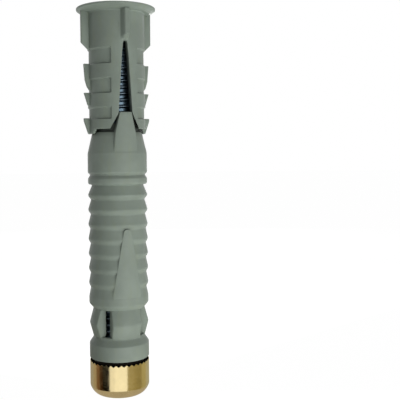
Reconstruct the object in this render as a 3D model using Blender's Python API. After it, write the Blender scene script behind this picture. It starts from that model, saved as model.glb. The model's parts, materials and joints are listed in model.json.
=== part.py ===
"""Double expansion anchor: a flanged nylon sleeve over a ribbed nylon sleeve,
with a threaded stud down the middle and a toothed cone nut at the foot.

Everything is in metres, +Z up. The axis of the anchor is the Z axis, the flat
foot of the nut is at z = 0 and the keys and slots face -Y and +Y.
"""

import math

import bmesh
import bpy

MM = 0.001

# Outside of the sleeves and the bore that their wall leaves; radii within the wall are shares of it
BARREL_R = 5.90 * MM
WALL = 1.75 * MM
WALL_SHARE = WALL / (1.75 * MM)
BORE_R = BARREL_R - WALL

# Fits between the pieces
THREAD_FIT = 0.06 * MM
STUD_CLEARANCE = 0.55 * MM
SEAT_GAP = 0.30 * MM
WEDGE_GAP = 0.25 * MM * WALL_SHARE
KEY_GAP = 0.20 * MM

# Threaded stud, a plain rod at the pitch radius of its M8 thread
STUD_R = BORE_R - STUD_CLEARANCE
STUD_CHAMFER = 0.45 * MM
STUD_FOOT_RECESS = 1.2 * MM
STUD_TOP_PROUD = 0.40 * MM
SOCKET_FLATS = 4.0 * MM
SOCKET_DEPTH = 4.0 * MM

# Cone nut at the foot
NUT_R = BARREL_R - 0.04 * MM
NUT_FOOT_R = 4.20 * MM
NUT_CORNER_HEIGHT = 1.9 * MM
NUT_RIM_HEIGHT = 6.54 * MM
NUT_TOOTH_HEIGHT = 0.28 * MM
NUT_TEETH = 36
NUT_CONE_TOP_R = BORE_R + 0.15 * MM * WALL_SHARE
NUT_CONE_BASE_R = NUT_CONE_TOP_R + 0.60 * MM * WALL_SHARE
NUT_CONE_HEIGHT = 4.2 * MM

# Ribbed lower sleeve, heights counted upwards from its end face
CONE_SEAT_LEAD = 1.6 * MM
COLLAR_R = BARREL_R - 0.02 * MM
COLLAR_HEIGHT = 3.05 * MM
COLLAR_SLOPE = 1.2 * MM
WAIST_R = BORE_R + 0.91 * MM * WALL_SHARE
BICONE_R = BARREL_R - 0.08 * MM
BICONE_HEIGHT = 5.68 * MM
WIDE_RIB_R = BARREL_R - 0.02 * MM
WIDE_RIB_RISE = 1.0 * MM
WIDE_RIB_FLAT = 1.3 * MM
WIDE_RIB_HEIGHT = 4.1 * MM
RIB_R = BARREL_R
RIB_PITCH = 2.883 * MM
RIB_UNDERCUT = 0.55 * MM
RIB_CREST = 0.95 * MM
RIB_VALLEY_DEPTHS = (0.38 * MM, 0.38 * MM, 0.43 * MM, 0.43 * MM, 0.39 * MM, 0.51 * MM, 0.59 * MM, 0.81 * MM)
TOP_RIB_R = BARREL_R - 0.03 * MM
TOP_RIB_HEIGHT = 1.3 * MM
GROOVE_R = BARREL_R - 0.47 * MM * WALL_SHARE
GROOVE_HEIGHT = 0.65 * MM
BARREL_HEIGHT = 4.3 * MM
NOSE_TIP_R = BORE_R + 0.40 * MM * WALL_SHARE
NOSE_HEIGHT = 5.8 * MM

# Corner notches that leave a cross of four legs in the bicone
NOTCH_X = BORE_R - 1.35 * MM
NOTCH_Y = BORE_R - 1.87 * MM
NOTCH_INSET = 0.15 * MM

# Spears that fill the rib valleys at the front and the back
SPEAR_PROUD = 0.03 * MM
SPEAR_ROOT_R = BARREL_R - 0.90 * MM * WALL_SHARE
SPEAR_TIP_HALF = 0.62 * MM
SPEAR_FOOT_HALF = 2.62 * MM
SPEAR_TIP_ABOVE = 11.6 * MM

# Keys that stand on the nose and run in the slots of the upper sleeve
KEY_HEIGHT = 7.9 * MM
KEY_TIP_HALF = 1.12 * MM
KEY_MID_HALF = 2.00 * MM
KEY_MID_DROP = 4.1 * MM
KEY_FOOT_HALF = 2.25 * MM
KEY_FOOT_DEPTH = 1.2 * MM
KEY_SETBACK = 0.04 * MM
KEY_TIP_SETBACK = 0.12 * MM
KEY_INNER_R = BORE_R + 0.15 * MM * WALL_SHARE

# Flanged upper sleeve
SKIRT_R = BARREL_R - 0.20 * MM * WALL_SHARE
SKIRT_LENGTH = 23.0 * MM
TAB_LENGTH = 0.9 * MM
TAB_TOP_HALF = 2.44 * MM
TAB_FOOT_HALF = 1.66 * MM
TAB_ABOVE_BARREL = 3.8 * MM
FLANGE_R = BARREL_R + 2.00 * MM
FLANGE_HEIGHT = 1.6 * MM
FLANGE_LOWER_ROUND = 0.9 * MM
FLANGE_UPPER_ROUND = 0.5 * MM
MOUTH_CHAMFER = 0.2 * MM

# Slots for the keys, ending below the flange, with a flare at their mouth
SLOT_DEPTH = 6.0 * MM
SLOT_TIP_HALF = 0.45 * MM
FLARE_HALF = 2.90 * MM
FLARE_START = 0.30 * MM

# Shallow pockets beside the slots: (bottom edge above the skirt's end, height)
POCKETS = ((12.64 * MM, 2.88 * MM), (6.96 * MM, 2.62 * MM), (1.92 * MM, 1.94 * MM))
POCKET_FLOOR_R = SKIRT_R - 0.22 * MM * WALL_SHARE
POCKET_SLOPE = 0.35 * MM
STRIP_HALF = 2.80 * MM

# Thin barbed fins at the two sides: (height above the skirt's end, reach beyond the skirt)
FIN_THICKNESS = 0.76 * MM
FIN_ROOT_R = BORE_R + 0.55 * MM * WALL_SHARE
FIN_FLANGE_REACH = 1.55 * MM
FIN_TOP = ((17.1 * MM, 1.52 * MM), (15.5 * MM, -0.10 * MM))
FIN_SECOND = ((12.9 * MM, 1.05 * MM), (9.7 * MM, 0.78 * MM), (8.4 * MM, 0.40 * MM), (7.6 * MM, -0.15 * MM))
FIN_THIRD = ((7.2 * MM, 1.02 * MM), (4.8 * MM, 0.28 * MM), (4.3 * MM, -0.30 * MM))
FIN_LAST_HEIGHT = 2.2 * MM
FIN_LAST_REACH = 1.10 * MM
FIN_LAST_SHOULDER = 0.6 * MM
FIN_LAST_FOOT_REACH = 0.22 * MM
FIN_OVERLAP = 0.05 * MM

# Bead in line with each slot, between the slot and the flange
BEAD_HALF = 0.85 * MM
BEAD_CREST_HALF = 0.35 * MM
BEAD_PROUD = 1.37 * MM
BEAD_LENGTH = 5.9 * MM
BEAD_END = 0.9 * MM

# Facets
SLEEVE_SEGMENTS = 48
STUD_SEGMENTS = 36
WALL_PHASE = 0.5
TOOL_PHASE = 0.0
ARC_STEPS = 4
OUTSIDE = 12.0 * MM

# Heights that follow from the sizes
LOWER_END = NUT_RIM_HEIGHT + NUT_TOOTH_HEIGHT + SEAT_GAP
WAIST_LOW = LOWER_END + COLLAR_HEIGHT + COLLAR_SLOPE
WAIST_HIGH = WAIST_LOW + BICONE_HEIGHT
FIRST_VALLEY = WAIST_HIGH + WIDE_RIB_HEIGHT
LAST_VALLEY = FIRST_VALLEY + RIB_PITCH * (len(RIB_VALLEY_DEPTHS) - 1)
GROOVE_Z = LAST_VALLEY + TOP_RIB_HEIGHT + GROOVE_HEIGHT
BARREL_TOP = GROOVE_Z + BARREL_HEIGHT
NOSE_TOP = BARREL_TOP + NOSE_HEIGHT
KEY_TOP = BARREL_TOP + KEY_HEIGHT
TAB_END = BARREL_TOP + TAB_ABOVE_BARREL
SKIRT_END = TAB_END + TAB_LENGTH
FLANGE_UNDERSIDE = SKIRT_END + SKIRT_LENGTH
FLANGE_TOP = FLANGE_UNDERSIDE + FLANGE_HEIGHT
NOSE_SLOPE = (BARREL_R - NOSE_TIP_R) / NOSE_HEIGHT


def clear_scene():
    for item in list(bpy.data.objects):
        bpy.data.objects.remove(item, do_unlink=True)


def make_material(name, colour, roughness, metallic):
    material = bpy.data.materials.new(name)
    material.use_nodes = True
    shader = material.node_tree.nodes["Principled BSDF"]
    shader.inputs["Base Color"].default_value = (*colour, 1.0)
    shader.inputs["Roughness"].default_value = roughness
    shader.inputs["Metallic"].default_value = metallic
    return material


def mesh_object(name, bm):
    """Turn a closed bmesh into an object with its faces pointing out."""
    bmesh.ops.recalc_face_normals(bm, faces=bm.faces)
    mesh = bpy.data.meshes.new(name)
    bm.to_mesh(mesh)
    bm.free()
    item = bpy.data.objects.new(name, mesh)
    bpy.context.scene.collection.objects.link(item)
    return item


def turned(name, outline, segments, ring=True, phase=0.0):
    """Revolve (radius, z) points about Z, started at a phase counted in segments.

    A ring's outline closes on itself. The tools are turned half a segment out of
    phase with the wall that they cut, so that no two edges lie on each other.
    """
    bm = bmesh.new()
    first = math.tau / segments * phase
    verts = [bm.verts.new((radius * math.cos(first), radius * math.sin(first), z)) for radius, z in outline]
    pairs = list(zip(verts, verts[1:]))
    if ring:
        pairs.append((verts[-1], verts[0]))
    edges = [bm.edges.new(pair) for pair in pairs]
    bmesh.ops.spin(bm, geom=verts + edges, cent=(0, 0, 0), axis=(0, 0, 1),
                   angle=math.tau, steps=segments, use_merge=True)
    bmesh.ops.remove_doubles(bm, verts=bm.verts, dist=1e-7)
    return mesh_object(name, bm)


def prism(name, outline, along, start, end):
    """Extrude an outline along X, Y or Z; it lies in the other two axes, in order."""
    place = {
        "X": lambda a, b: (start, a, b),
        "Y": lambda a, b: (a, start, b),
        "Z": lambda a, b: (a, b, start),
    }[along]
    step = {"X": (end - start, 0, 0), "Y": (0, end - start, 0), "Z": (0, 0, end - start)}[along]
    bm = bmesh.new()
    face = bm.faces.new([bm.verts.new(place(a, b)) for a, b in outline])
    grown = bmesh.ops.extrude_face_region(bm, geom=[face])["geom"]
    top = [item for item in grown if isinstance(item, bmesh.types.BMVert)]
    bmesh.ops.translate(bm, verts=top, vec=step)
    return mesh_object(name, bm)


def combine(target, tool, operation):
    """Apply one Boolean to the target and remove the tool."""
    modifier = target.modifiers.new(operation.lower(), "BOOLEAN")
    modifier.operation = operation
    modifier.solver = "EXACT"
    modifier.object = tool
    evaluated = target.evaluated_get(bpy.context.evaluated_depsgraph_get())
    mesh = bpy.data.meshes.new_from_object(evaluated)
    mesh.name = target.name
    target.modifiers.clear()
    target.data = mesh
    bpy.data.objects.remove(tool, do_unlink=True)


def finish(item, name, material):
    item.name = name
    item.data.name = name
    item.data.materials.clear()
    item.data.materials.append(material)
    item.data.shade_smooth()
    item.data.set_sharp_from_angle(angle=math.radians(28))


def arc(centre, radii, start, end, steps=ARC_STEPS):
    """Points of an elliptical arc in the (radius, z) plane, both ends included."""
    points = []
    for index in range(steps + 1):
        angle = math.radians(start + (end - start) * index / steps)
        points.append((centre[0] + radii[0] * math.cos(angle), centre[1] + radii[1] * math.sin(angle)))
    return points


def both_ways(outline):
    """The half outline (a >= 0), closed by its mirror image in a."""
    return outline + [(-a, b) for a, b in reversed(outline)]


def nose_radius(z):
    return BARREL_R - NOSE_SLOPE * (z - BARREL_TOP)


def build_stud(material):
    low = STUD_FOOT_RECESS
    high = FLANGE_TOP + STUD_TOP_PROUD
    inner = STUD_R - STUD_CHAMFER
    outline = [
        (0.0, low), (inner, low), (STUD_R, low + STUD_CHAMFER),
        (STUD_R, high - STUD_CHAMFER), (inner, high), (0.0, high),
    ]
    stud = turned("stud_blank", outline, STUD_SEGMENTS, ring=False)
    across_corners = SOCKET_FLATS / math.cos(math.radians(30)) / 2
    hexagon = [
        (across_corners * math.cos(math.radians(60 * index)), across_corners * math.sin(math.radians(60 * index)))
        for index in range(6)
    ]
    combine(stud, prism("socket", hexagon, "Z", high - SOCKET_DEPTH, high + OUTSIDE), "DIFFERENCE")
    finish(stud, "threaded_stud", material)


def build_nut(material):
    bore = STUD_R + THREAD_FIT
    corner = arc((NUT_FOOT_R, NUT_CORNER_HEIGHT), (NUT_R - NUT_FOOT_R, NUT_CORNER_HEIGHT), -90, 0)
    outline = [(bore, 0.0)] + corner + [
        (NUT_R, NUT_RIM_HEIGHT),
        (NUT_CONE_BASE_R, NUT_RIM_HEIGHT),
        (NUT_CONE_TOP_R, NUT_RIM_HEIGHT + NUT_CONE_HEIGHT),
        (bore, NUT_RIM_HEIGHT + NUT_CONE_HEIGHT),
    ]
    nut = turned("nut_blank", outline, 2 * NUT_TEETH)
    half_pitch = math.pi / NUT_TEETH
    for vert in nut.data.vertices:
        on_rim = abs(vert.co.z - NUT_RIM_HEIGHT) < 1e-6
        step = round(math.atan2(vert.co.y, vert.co.x) / half_pitch)
        if on_rim and math.hypot(vert.co.x, vert.co.y) > BORE_R and step % 2 == 0:
            vert.co.z += NUT_TOOTH_HEIGHT
    finish(nut, "expander_nut", material)


def lower_sleeve_outline():
    """Outer side from the end face to the nose, then the bore back down."""
    cone_run = (NUT_CONE_BASE_R - NUT_CONE_TOP_R) / NUT_CONE_HEIGHT
    seat_low = NUT_CONE_BASE_R - cone_run * (LOWER_END - NUT_RIM_HEIGHT) + WEDGE_GAP
    seat_high = NUT_CONE_TOP_R + WEDGE_GAP
    cone_top = NUT_RIM_HEIGHT + NUT_CONE_HEIGHT
    points = [
        (seat_low, LOWER_END),
        (COLLAR_R, LOWER_END),
        (COLLAR_R, LOWER_END + COLLAR_HEIGHT),
        (WAIST_R, WAIST_LOW),
        (BICONE_R, WAIST_LOW + BICONE_HEIGHT / 2),
        (WAIST_R, WAIST_HIGH),
        (WIDE_RIB_R, WAIST_HIGH + WIDE_RIB_RISE),
        (WIDE_RIB_R, WAIST_HIGH + WIDE_RIB_RISE + WIDE_RIB_FLAT),
    ]
    valleys = [RIB_R - depth * WALL_SHARE for depth in RIB_VALLEY_DEPTHS]
    for index, valley in enumerate(valleys[:-1]):
        low = FIRST_VALLEY + RIB_PITCH * index
        points.append((valley, low))
        points.append((valley + (RIB_R - valley) * 0.8, low + RIB_UNDERCUT))
        points.append((RIB_R, low + RIB_CREST))
    points += [
        (valleys[-1], LAST_VALLEY),
        (TOP_RIB_R - 0.1 * MM, LAST_VALLEY + 0.15 * MM),
        (TOP_RIB_R, LAST_VALLEY + 0.5 * MM),
        (TOP_RIB_R, LAST_VALLEY + TOP_RIB_HEIGHT),
        (GROOVE_R, GROOVE_Z),
        (BARREL_R, GROOVE_Z + 0.5 * MM),
        (BARREL_R, BARREL_TOP),
        (NOSE_TIP_R, NOSE_TOP),
        (BORE_R, NOSE_TOP),
        (BORE_R, cone_top + CONE_SEAT_LEAD),
        (seat_high, cone_top),
    ]
    return points


def build_lower_sleeve(material):
    sleeve = turned("sleeve_blank", lower_sleeve_outline(), SLEEVE_SEGMENTS, phase=WALL_PHASE)

    notch_low = WAIST_LOW - NOTCH_INSET
    notch_high = WAIST_HIGH + NOTCH_INSET
    for side_x in (-1, 1):
        for side_y in (-1, 1):
            corner = [
                (side_x * NOTCH_X, side_y * NOTCH_Y), (side_x * OUTSIDE, side_y * NOTCH_Y),
                (side_x * OUTSIDE, side_y * OUTSIDE), (side_x * NOTCH_X, side_y * OUTSIDE),
            ]
            combine(sleeve, prism("notch", corner, "Z", notch_low, notch_high), "DIFFERENCE")

    spear_low = FIRST_VALLEY - WIDE_RIB_HEIGHT / 3
    spear_high = FIRST_VALLEY + SPEAR_TIP_ABOVE
    outer = RIB_R + SPEAR_PROUD
    band = [(SPEAR_ROOT_R, spear_low), (outer, spear_low), (outer, spear_high), (SPEAR_ROOT_R, spear_high)]
    spears = turned("spears", band, SLEEVE_SEGMENTS, phase=TOOL_PHASE)
    blade = both_ways([
        (SPEAR_FOOT_HALF, spear_low - FIN_OVERLAP),
        (SPEAR_FOOT_HALF, FIRST_VALLEY),
        (SPEAR_TIP_HALF, spear_high + FIN_OVERLAP),
    ])
    combine(spears, prism("blade", blade, "Y", -OUTSIDE, OUTSIDE), "INTERSECT")
    combine(sleeve, spears, "UNION")

    key_foot = BARREL_TOP - KEY_FOOT_DEPTH
    band = [
        (KEY_INNER_R, key_foot), (BARREL_R - KEY_SETBACK, key_foot),
        (BARREL_R - KEY_TIP_SETBACK, KEY_TOP), (KEY_INNER_R, KEY_TOP),
    ]
    keys = turned("keys", band, SLEEVE_SEGMENTS, phase=TOOL_PHASE)
    blade = both_ways([
        (KEY_FOOT_HALF, key_foot - FIN_OVERLAP),
        (KEY_FOOT_HALF, BARREL_TOP),
        (KEY_MID_HALF, KEY_TOP - KEY_MID_DROP),
        (KEY_TIP_HALF, KEY_TOP + FIN_OVERLAP),
    ])
    combine(keys, prism("blade", blade, "Y", -OUTSIDE, OUTSIDE), "INTERSECT")
    combine(sleeve, keys, "UNION")
    finish(sleeve, "lower_sleeve", material)


def upper_sleeve_outline():
    seat_top = BARREL_TOP + (BARREL_R + WEDGE_GAP - BORE_R) / NOSE_SLOPE
    lower_round = arc(
        (FLANGE_R - FLANGE_LOWER_ROUND, FLANGE_UNDERSIDE + FLANGE_LOWER_ROUND),
        (FLANGE_LOWER_ROUND, FLANGE_LOWER_ROUND), -90, 0)
    upper_round = arc(
        (FLANGE_R - FLANGE_UPPER_ROUND, FLANGE_TOP - FLANGE_UPPER_ROUND),
        (FLANGE_UPPER_ROUND, FLANGE_UPPER_ROUND), 0, 90)
    return [
        (nose_radius(TAB_END) + WEDGE_GAP, TAB_END),
        (SKIRT_R, TAB_END),
        (SKIRT_R, FLANGE_UNDERSIDE),
        *lower_round,
        *upper_round,
        (BORE_R + MOUTH_CHAMFER, FLANGE_TOP),
        (BORE_R, FLANGE_TOP - MOUTH_CHAMFER),
        (BORE_R, seat_top),
    ]


def cut_pockets(sleeve):
    """Shallow pockets all round, except on the strips beside the slots."""
    for rise, height in POCKETS:
        low = SKIRT_END + rise
        top = low + height
        band = [
            (POCKET_FLOOR_R, low), (OUTSIDE, low),
            (OUTSIDE, top), (SKIRT_R, top), (POCKET_FLOOR_R, top - POCKET_SLOPE),
        ]
        cutter = turned("pocket", band, SLEEVE_SEGMENTS, phase=TOOL_PHASE)
        strip = both_ways([(STRIP_HALF, low - FIN_OVERLAP), (STRIP_HALF, top + FIN_OVERLAP)])
        combine(cutter, prism("strip", strip, "Y", -2 * OUTSIDE, 2 * OUTSIDE), "DIFFERENCE")
        combine(sleeve, cutter, "DIFFERENCE")


def add_fins(sleeve):
    """Four barbs down each side, each a thin plate that is rooted in the wall."""
    last_root = nose_radius(TAB_END) + WEDGE_GAP + FIN_OVERLAP
    last = (
        (FIN_LAST_HEIGHT, FIN_LAST_REACH),
        (FIN_LAST_HEIGHT - FIN_LAST_SHOULDER, FIN_LAST_REACH - FIN_OVERLAP),
        (FIN_OVERLAP - TAB_LENGTH, FIN_LAST_FOOT_REACH),
    )
    top = ((SKIRT_LENGTH + FLANGE_LOWER_ROUND, FIN_FLANGE_REACH),) + FIN_TOP
    for side in (-1, 1):
        for barb, root in ((top, FIN_ROOT_R), (FIN_SECOND, FIN_ROOT_R), (FIN_THIRD, FIN_ROOT_R), (last, last_root)):
            edge = [(side * (SKIRT_R + reach), SKIRT_END + height) for height, reach in barb]
            outline = edge + [(side * root, edge[-1][1]), (side * root, edge[0][1])]
            plate = prism("fin", outline, "Y", -FIN_THICKNESS / 2, FIN_THICKNESS / 2)
            combine(sleeve, plate, "UNION")


def add_beads(sleeve):
    """A ridge from the flange down to each slot, with a sloping lower end."""
    root = SKIRT_R - 2 * FIN_OVERLAP
    low = FLANGE_UNDERSIDE - BEAD_LENGTH
    for side in (-1, 1):
        section = [
            (-BEAD_HALF, side * math.sqrt(root ** 2 - BEAD_HALF ** 2)),
            (BEAD_HALF, side * math.sqrt(root ** 2 - BEAD_HALF ** 2)),
            (BEAD_CREST_HALF, side * (SKIRT_R + BEAD_PROUD)),
            (-BEAD_CREST_HALF, side * (SKIRT_R + BEAD_PROUD)),
        ]
        bead = prism("bead", section, "Z", low, FLANGE_UNDERSIDE + FIN_OVERLAP)
        for vert in bead.data.vertices:
            if abs(vert.co.y) > SKIRT_R and vert.co.z < low + FIN_OVERLAP:
                vert.co.z += BEAD_END
        combine(sleeve, bead, "UNION")


def cut_slots(sleeve):
    """One narrow V through both walls, flared where the nose goes in."""
    tip = FLANGE_UNDERSIDE - SLOT_DEPTH
    throat = KEY_TIP_HALF + KEY_GAP + FIN_OVERLAP
    flare_slope = (FLARE_HALF - throat) / (KEY_TOP - FLARE_START - SKIRT_END)
    below = TAB_END - TAB_LENGTH
    half = both_ways([
        (FLARE_HALF + flare_slope * (SKIRT_END - below), below),
        (throat, KEY_TOP - FLARE_START),
        (KEY_TIP_HALF + KEY_GAP, KEY_TOP),
        (SLOT_TIP_HALF, tip - SLOT_TIP_HALF),
        (SLOT_TIP_HALF / 2, tip),
    ])
    combine(sleeve, prism("slot", half, "Y", -OUTSIDE, OUTSIDE), "DIFFERENCE")


def trim_skirt(sleeve):
    """The wall ends at the skirt's edge, except for a tab under each row of fins."""
    for side in (-1, 1):
        outline = [
            (side * TAB_TOP_HALF, SKIRT_END), (side * TAB_FOOT_HALF, TAB_END),
            (side * TAB_FOOT_HALF, TAB_END - SEAT_GAP), (side * OUTSIDE, TAB_END - SEAT_GAP),
            (side * OUTSIDE, SKIRT_END),
        ]
        combine(sleeve, prism("trim", outline, "X", -OUTSIDE, OUTSIDE), "DIFFERENCE")


def build_upper_sleeve(material):
    sleeve = turned("flange_blank", upper_sleeve_outline(), SLEEVE_SEGMENTS, phase=WALL_PHASE)
    cut_pockets(sleeve)
    add_fins(sleeve)
    add_beads(sleeve)
    trim_skirt(sleeve)
    cut_slots(sleeve)
    finish(sleeve, "upper_sleeve", material)


def main():
    clear_scene()
    nylon = make_material("grey_nylon", (0.19, 0.225, 0.19), 0.5, 0.0)
    brass = make_material("yellow_brass", (0.62, 0.45, 0.16), 0.25, 1.0)
    steel = make_material("zinc_steel", (0.42, 0.46, 0.55), 0.3, 1.0)
    build_stud(steel)
    build_nut(brass)
    build_lower_sleeve(nylon)
    build_upper_sleeve(nylon)


main()
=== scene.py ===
"""Looks of the double expansion anchor: two nylon sleeves, a threaded stud and a brass cone nut.

Shapes are worked out in millimetres about the anchor's own axis and are brought to metres at the end.
The axis is Z, the nut's foot is at height 0, and the keys and slots face -Y and +Y.
"""

import json
import math

import bmesh
import bpy
from mathutils import Matrix, Vector

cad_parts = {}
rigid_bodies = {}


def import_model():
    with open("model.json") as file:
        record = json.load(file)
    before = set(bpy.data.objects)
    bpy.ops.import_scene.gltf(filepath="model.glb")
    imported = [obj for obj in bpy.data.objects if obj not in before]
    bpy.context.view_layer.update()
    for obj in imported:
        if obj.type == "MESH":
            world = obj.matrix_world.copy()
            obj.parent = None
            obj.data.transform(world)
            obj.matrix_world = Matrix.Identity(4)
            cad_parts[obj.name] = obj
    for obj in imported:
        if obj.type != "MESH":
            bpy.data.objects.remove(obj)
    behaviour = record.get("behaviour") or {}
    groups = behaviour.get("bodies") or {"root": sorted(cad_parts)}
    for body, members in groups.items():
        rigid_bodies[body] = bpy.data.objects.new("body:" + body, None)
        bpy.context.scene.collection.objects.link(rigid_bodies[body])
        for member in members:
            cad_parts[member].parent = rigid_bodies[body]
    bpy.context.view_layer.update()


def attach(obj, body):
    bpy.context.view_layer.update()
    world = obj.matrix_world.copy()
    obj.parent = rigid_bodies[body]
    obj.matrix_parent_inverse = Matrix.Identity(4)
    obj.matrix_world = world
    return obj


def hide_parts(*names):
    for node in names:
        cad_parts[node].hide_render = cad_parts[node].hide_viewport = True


bl_info = {
    "name": "Double Expansion Anchor",
    "version": (1, 0, 0),
    "blender": (4, 5, 0),
    "location": "View3D > Sidebar > Anchor",
    "description": "Builds the sleeves, stud and cone nut of a double expansion anchor",
    "category": "Object",
}

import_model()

MM = 0.001

# Heights along the axis, in millimetres
STUD_FOOT = 1.2
NUT_CORNER = 1.9
TOOTH_ROOT = 5.4
NUT_RIM = 6.54
NUT_CONE_TOP = 10.74
LOWER_END = 7.12
COLLAR_TOP = 10.17
WAIST_LOW = 11.37
WAIST_HIGH = 17.05
FIRST_VALLEY = 21.15
RIB_PITCH = 2.883
LAST_VALLEY = FIRST_VALLEY + 7 * RIB_PITCH
GROOVE = LAST_VALLEY + 1.95
BARREL_TOP = GROOVE + 4.3
NOSE_TOP = BARREL_TOP + 5.8
KEY_TOP = BARREL_TOP + 7.9
TAB_END = BARREL_TOP + 3.8
SKIRT_END = TAB_END + 0.9
FLANGE_UNDERSIDE = SKIRT_END + 23.0
FLANGE_TOP = FLANGE_UNDERSIDE + 1.6
RIM_TOP = FLANGE_TOP - 0.42
STUD_TOP = FLANGE_TOP + 0.395
SLOT_TIP = FLANGE_UNDERSIDE - 6.0
SLOT_ROUND = SLOT_TIP - 0.42
MOUTH_ROUND = 0.25

# Radii in millimetres
SOCKET_CORNER = 2.31
THREAD_ROOT_DEPTH = 0.58
BORE = 4.15
NUT_BORE = 4.04
NUT_FOOT = 4.20
SPIGOT = 4.40
SKIRT = 5.70
POCKET_FLOOR = 5.48
NUT_WALL = 5.86
COLLAR = 5.88
BARREL = 5.90
RIB_VALLEYS = (5.52, 5.52, 5.47, 5.47, 5.51, 5.39, 5.31, 5.09)

# Widths, slopes and steps, in millimetres
SLOT_ROUND_HALF = 0.42
STRIP_HALF = 2.66
FRONT_LEG_HALF = 2.90
SIDE_LEG_HALF = 2.36
FIN_THICKNESS = 0.76
NOSE_SLOPE = (BARREL - 4.55) / 5.8
WEDGE_GAP = 0.25
UPPER_STEPS = 128
LOWER_STEPS = 144
SMOOTH_ANGLE = 32

# Pockets: rise of the lower edge above the skirt's end, and height
POCKETS = ((12.62, 3.20), (6.90, 3.02), (1.88, 2.42))

# Barbs of a fin: radius of the root, then rise above the skirt's end and radius of each corner
BARBS = (
    (5.0, ((23.9, 7.25), (17.1, 7.22), (15.5, 5.6))),
    (5.0, ((12.9, 6.75), (9.7, 6.48), (8.4, 6.1), (7.6, 5.55))),
    (5.0, ((7.2, 6.72), (4.8, 5.98), (4.3, 5.4))),
    (5.32, ((2.2, 6.80), (1.6, 6.75), (-0.85, 5.92))),
)

# Rib above a slot: how proud it stands at a distance from its middle, and its share of that above the tip
RIB_SECTION = ((0.26, 1.37), (0.34, 1.33), (0.42, 1.20), (0.80, 0.10), (0.90, 0.0))
RIB_START = ((0.05, 0.0), (0.25, 0.22), (1.0, 1.0))

# Tabs: how far the skirt's end drops at a distance from the fin's middle
TAB_DROP = ((1.62, 0.9), (1.72, 0.86), (2.12, 0.05), (2.20, 0.0))

# Underside of the flange's rim: radius and rise above the flat underside
RIM_UNDERSIDE = (
    (6.3, 0.0), (6.52, 0.01), (6.68, 0.06), (6.95, 0.17),
    (7.35, 0.36), (7.68, 0.54), (7.80, 0.63), (7.86, 0.72),
)


def steps_between(start, end, spacing):
    """Heights from start to end, both included, no further apart than the spacing."""
    count = max(1, math.ceil(abs(end - start) / spacing))
    return [start + (end - start) * index / count for index in range(count + 1)]


def arc(centre, radius, start, end, steps):
    """Points of an arc in the (radius, height) plane, both ends included."""
    points = []
    for index in range(steps + 1):
        angle = math.radians(start + (end - start) * index / steps)
        points.append((centre[0] + radius * math.cos(angle), centre[1] + radius * math.sin(angle)))
    return points


def softened(points, radius, steps):
    """The closed outline with each corner replaced by a short curve."""
    outline = []
    for index, point in enumerate(points):
        here = Vector(point)
        before = Vector(points[index - 1]) - here
        after = Vector(points[(index + 1) % len(points)]) - here
        reach = min(radius, before.length * 0.45, after.length * 0.45)
        first = here + before.normalized() * reach
        second = here + after.normalized() * reach
        for step in range(steps + 1):
            blend = step / steps
            curve = first * (1 - blend) ** 2 + here * (2 * blend * (1 - blend)) + second * blend ** 2
            outline.append((curve.x, curve.y))
    return outline


def between(value, table):
    """Straight-line reading of a table of (height, value) pairs."""
    if value <= table[0][0]:
        return table[0][1]
    for (low, low_value), (high, high_value) in zip(table, table[1:]):
        if value <= high:
            return low_value + (high_value - low_value) * (value - low) / (high - low)
    return table[-1][1]


def smooth(value, low, high):
    """0 below low, 1 above high, and an easy curve between."""
    blend = min(1.0, max(0.0, (value - low) / (high - low)))
    return blend * blend * (3 - 2 * blend)


def wire(bm, outline, closed):
    """The (radius, height) outline as vertices and edges on the plane y = 0."""
    verts = [bm.verts.new((radius, 0, height)) for radius, height in outline]
    pairs = list(zip(verts, verts[1:]))
    if closed:
        pairs.append((verts[-1], verts[0]))
    return verts + [bm.edges.new(pair) for pair in pairs]


def revolve(outline, segments, closed=True):
    """The outline turned once round the axis."""
    bm = bmesh.new()
    bmesh.ops.spin(bm, geom=wire(bm, outline, closed), cent=(0, 0, 0), axis=(0, 0, 1),
                   angle=math.tau, steps=segments, use_merge=True)
    bmesh.ops.remove_doubles(bm, verts=bm.verts, dist=1e-4)
    bmesh.ops.recalc_face_normals(bm, faces=bm.faces)
    return bm


def coil(section, turns, pitch, segments, start_height):
    """A closed section wound round the axis as a right-handed thread ridge, with closed ends."""
    turn = bmesh.new()
    section = [(radius, height + start_height) for radius, height in section]
    bmesh.ops.spin(turn, geom=wire(turn, section, True), cent=(0, 0, 0), axis=(0, 0, 1),
                   dvec=(0, 0, pitch / segments), angle=math.tau, steps=segments)
    parts = []
    for index in range(turns):
        part = turn.copy()
        bmesh.ops.translate(part, verts=part.verts, vec=(0, 0, pitch * index))
        parts.append(part)
    turn.free()
    bm = join(parts)
    bmesh.ops.remove_doubles(bm, verts=bm.verts, dist=1e-3)
    bmesh.ops.holes_fill(bm, edges=[edge for edge in bm.edges if edge.is_boundary], sides=0)
    bmesh.ops.recalc_face_normals(bm, faces=bm.faces)
    return bm


def reshape(bm, rule):
    """Moves every vertex by a rule on its radius, angle and height."""
    for vert in bm.verts:
        radius = math.hypot(vert.co.x, vert.co.y)
        angle = math.atan2(vert.co.y, vert.co.x)
        radius, angle, height = rule(radius, angle, vert.co.z)
        vert.co = (radius * math.cos(angle), radius * math.sin(angle), height)
    bm.normal_update()


def sharp_edges(bm, least):
    """Edges where two faces meet at more than the given angle."""
    limit = math.radians(least)
    return [edge for edge in bm.edges if len(edge.link_faces) == 2 and edge.calc_face_angle(0) > limit]


def round_edges(bm, edges, offset):
    bmesh.ops.bevel(bm, geom=edges, offset=offset, offset_type="OFFSET", segments=2, profile=0.5,
                    affect="EDGES", clamp_overlap=True, material=-1)


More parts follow.
